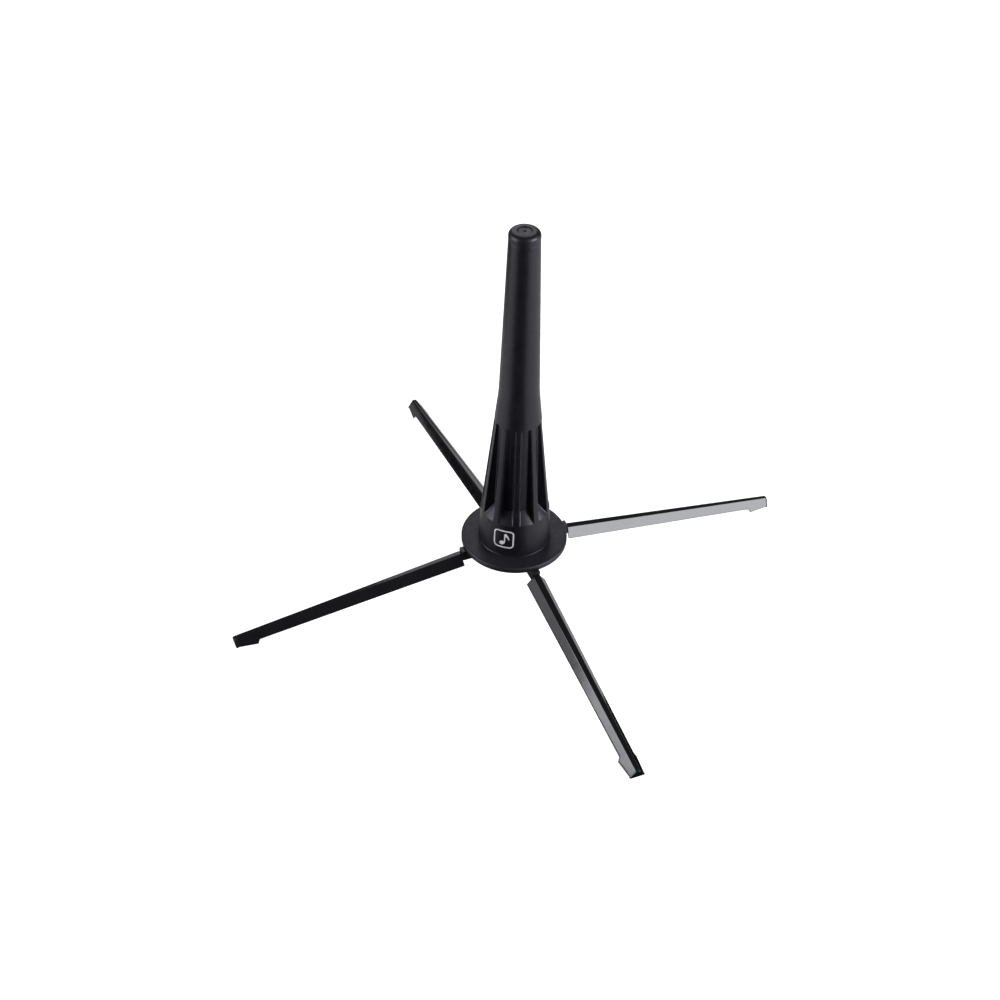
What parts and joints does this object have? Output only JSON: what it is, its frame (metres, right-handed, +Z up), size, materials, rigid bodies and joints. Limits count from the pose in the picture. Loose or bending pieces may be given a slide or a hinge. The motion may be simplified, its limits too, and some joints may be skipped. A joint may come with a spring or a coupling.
{
  "type": "trumpet stand",
  "caption": "Folding trumpet stand: a tapered hollow peg with a ribbed skirt on a round flange, over channel legs that fold down under it.",
  "frame": {"origin": "on the floor, under the centre of the peg", "axes": "+Z up along the peg; the four legs lie along +X, +Y, -X and -Y"},
  "size_m": [0.3776, 0.3776, 0.2586],
  "materials": {
    "peg_plastic": "fine-textured satin black",
    "cap_plastic": "satin black",
    "flange_plastic": "fine-textured satin black",
    "hub_plastic": "satin black",
    "arm_plastic": "satin black",
    "leg_enamel": "gloss black enamel on sheet steel",
    "foot_plastic": "glossy black",
    "plated_steel": "zinc plated"
  },
  "bodies": {
    "base": {"base_flange": "flange_plastic", "leg_hub": "hub_plastic", "hub_screw": "plated_steel", "hub_washer": "plated_steel", "hub_nut": "plated_steel", "hinge_pin_1": "plated_steel", "hinge_pin_2": "plated_steel", "hinge_pin_3": "plated_steel", "hinge_pin_4": "plated_steel"},
    "peg": {"peg": "peg_plastic", "peg_cap": "cap_plastic"},
    "leg_1": {"leg_arm_1": "arm_plastic", "leg_channel_1": "leg_enamel", "foot_insert_1": "foot_plastic"},
    "leg_2": {"leg_arm_2": "arm_plastic", "leg_channel_2": "leg_enamel", "foot_insert_2": "foot_plastic"},
    "leg_3": {"leg_arm_3": "arm_plastic", "leg_channel_3": "leg_enamel", "foot_insert_3": "foot_plastic"},
    "leg_4": {"leg_arm_4": "arm_plastic", "leg_channel_4": "leg_enamel", "foot_insert_4": "foot_plastic"}
  },
  "joints": [
    {"name": "peg_lift", "type": "slide", "parent": "base", "child": "peg", "axis": [0, 0, 1], "range_m": [0, 0.015]},
    {"name": "leg_1_fold", "type": "hinge", "parent": "base", "child": "leg_1", "pos_m": [0.0095, 0, 0.0257], "axis": [0, 1, 0], "range_deg": [0, 82]},
    {"name": "leg_2_fold", "type": "hinge", "parent": "base", "child": "leg_2", "pos_m": [0, 0.0095, 0.0257], "axis": [-1, 0, 0], "range_deg": [0, 82]},
    {"name": "leg_3_fold", "type": "hinge", "parent": "base", "child": "leg_3", "pos_m": [-0.0095, 0, 0.0257], "axis": [0, -1, 0], "range_deg": [0, 82]},
    {"name": "leg_4_fold", "type": "hinge", "parent": "base", "child": "leg_4", "pos_m": [0, -0.0095, 0.0257], "axis": [1, 0, 0], "range_deg": [0, 82]}
  ]
}
